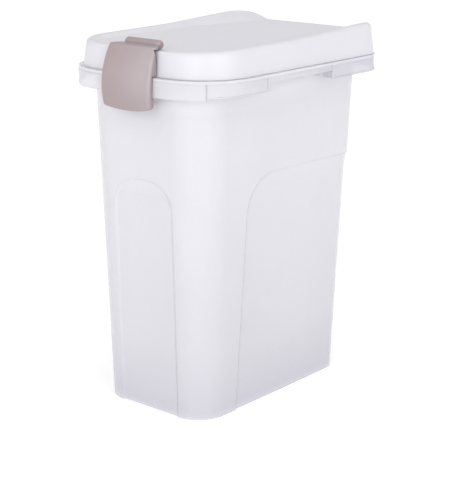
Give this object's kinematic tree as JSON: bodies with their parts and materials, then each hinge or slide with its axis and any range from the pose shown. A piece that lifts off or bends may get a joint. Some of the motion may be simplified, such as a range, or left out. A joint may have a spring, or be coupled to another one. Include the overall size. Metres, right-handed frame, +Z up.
{
  "type": "pet food bin",
  "caption": "Tall translucent storage bin with a hinged white lid and a swing-over front clip that hooks under the rim, for dry pet food.",
  "frame": {"origin": "middle of the overall footprint, on the floor that the bin stands on", "axes": "+Z up, -Y towards the clip at the front, +X to the right of someone who faces +Y"},
  "size_m": [0.22, 0.33, 0.41],
  "materials": {
    "translucent_tub": "milky translucent moulded polypropylene, satin",
    "white_lid": "white moulded polypropylene, fine satin",
    "soft_seal": "soft pale elastomer",
    "taupe_clip": "taupe moulded polypropylene, satin",
    "white_pin": "white moulded nylon, satin"
  },
  "bodies": {
    "tub_body": {"tub": "translucent_tub", "hinge_pin_left": "white_pin", "hinge_pin_right": "white_pin"},
    "lid_body": {"lid": "white_lid", "lid_seal": "soft_seal", "latch_pin": "white_pin"},
    "clip_body": {"latch_clip": "taupe_clip"}
  },
  "joints": [
    {"name": "lid_hinge", "type": "hinge", "parent": "tub_body", "child": "lid_body", "pos_m": [0, 0.16, 0.377], "axis": [-1, 0, 0], "range_deg": [0, 105]},
    {"name": "clip_swing", "type": "hinge", "parent": "lid_body", "child": "clip_body", "pos_m": [0, -0.133, 0.405], "axis": [-1, 0, 0], "range_deg": [0, 110]}
  ]
}
